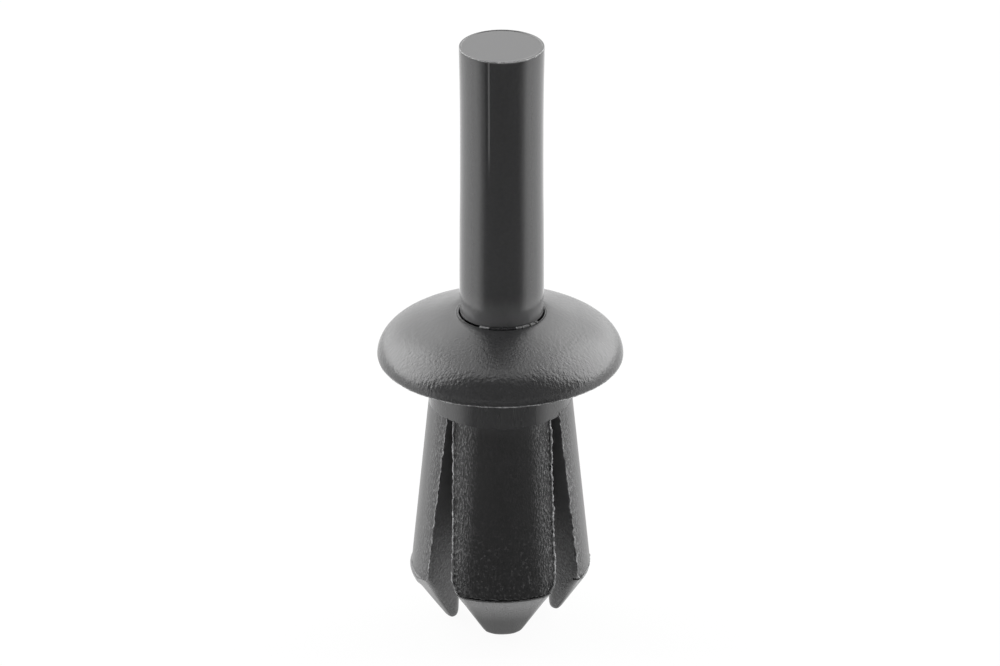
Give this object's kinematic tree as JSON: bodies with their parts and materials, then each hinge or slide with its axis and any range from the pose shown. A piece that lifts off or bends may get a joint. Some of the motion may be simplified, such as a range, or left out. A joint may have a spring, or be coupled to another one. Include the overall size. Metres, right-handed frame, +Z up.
{
  "type": "push rivet",
  "caption": "Plastic push rivet: domed head, plain collar and splayed slotted legs, spread by a drive pin that is pushed down flush.",
  "frame": {"origin": "on the rivet's axis, in the plane that the leg tips stand on", "axes": "+Z up along the axis, from the leg tips to the head and the drive pin; +X and +Y point to the middle of two neighbouring legs"},
  "size_m": [0.0132, 0.0132, 0.0336],
  "materials": {
    "body_plastic": "black nylon, fine spark-eroded grain",
    "pin_plastic": "black nylon, smooth satin"
  },
  "bodies": {
    "body": {"rivet_body": "body_plastic"},
    "pin": {"drive_pin": "pin_plastic"}
  },
  "joints": [
    {"name": "pin_drive", "type": "slide", "parent": "body", "child": "pin", "axis": [0, 0, -1], "range_m": [0, 0.0153]}
  ]
}
